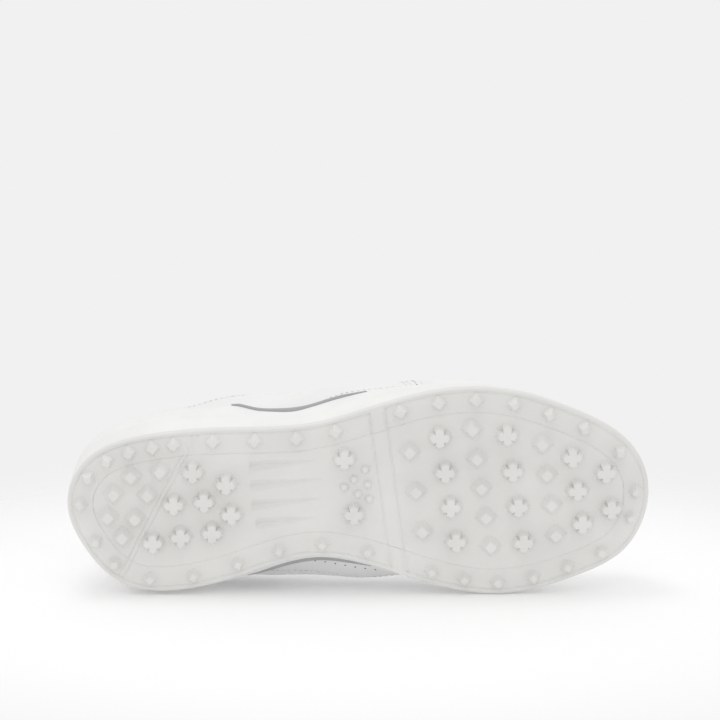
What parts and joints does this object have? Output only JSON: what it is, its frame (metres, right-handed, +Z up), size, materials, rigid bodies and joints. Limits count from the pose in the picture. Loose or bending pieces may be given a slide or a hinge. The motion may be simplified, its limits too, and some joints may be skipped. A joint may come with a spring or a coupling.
{
  "type": "golf shoe",
  "caption": "White right-foot spikeless golf shoe: lugged cupsole, wave-topped side wall, leather upper, laced.",
  "frame": {"origin": "on the ground under the middle of the outsole's box", "axes": "+Z up with the shoe on its lugs, toe towards -Y, medial side towards +X"},
  "size_m": [0.0956, 0.2607, 0.1064],
  "materials": {
    "outsole": "matt moulded rubber",
    "side_wall": "satin moulded rubber",
    "midsole_foam": "moulded foam",
    "heel_cushion": "soft gel",
    "shank": "moulded nylon",
    "insole_board": "fibre board",
    "footbed": "brushed textile over foam",
    "piping": "matt edging",
    "label": "woven tab",
    "stiffener": "thermoplastic sheet",
    "lace": "flat woven cord",
    "eyelet": "satin metal",
    "padding": "open-cell foam",
    "lining": "knitted mesh",
    "leather": "fine-grain coated leather"
  },
  "bodies": {
    "rearfoot": {"outsole_rear": "outsole", "side_wall_rear": "side_wall", "midsole_rear": "midsole_foam", "insole_board_rear": "insole_board", "footbed_rear": "footbed", "heel_cushion": "heel_cushion", "shank": "shank", "wave_piping_lateral": "piping", "wave_piping_medial": "piping", "quarter_lateral": "leather", "quarter_medial": "leather", "eyestay_lateral": "leather", "eyestay_medial": "leather", "quarter_lining": "lining", "heel_counter": "stiffener", "heel_label": "label", "heel_patch": "leather", "collar_foam": "padding", "collar_lining": "lining", "topline_binding": "leather", "vamp_rear": "leather", "tongue_face": "leather", "tongue_foam": "padding", "tongue_lining": "lining", "eyelets_lateral": "eyelet", "eyelets_medial": "eyelet", "lace": "lace"},
    "forefoot": {"outsole_fore": "outsole", "side_wall_fore": "side_wall", "midsole_fore": "midsole_foam", "insole_board_fore": "insole_board", "footbed_fore": "footbed", "vamp_fore": "leather", "vamp_lining_fore": "lining", "toe_puff": "stiffener"},
    "tongue_top": {"tongue_top_face": "leather", "tongue_top_foam": "padding", "tongue_top_lining": "lining"}
  },
  "joints": [
    {"name": "toe_flex", "type": "hinge", "parent": "rearfoot", "child": "forefoot", "pos_m": [0, -0.046, 0.0198], "axis": [-1, 0, 0], "range_deg": [0, 20], "stiffness_Nm_per_rad": 2},
    {"name": "tongue_flex", "type": "hinge", "parent": "rearfoot", "child": "tongue_top", "pos_m": [0.0015, 0.033, 0.0951], "axis": [1, 0, 0], "range_deg": [0, 35], "stiffness_Nm_per_rad": 0.06}
  ]
}
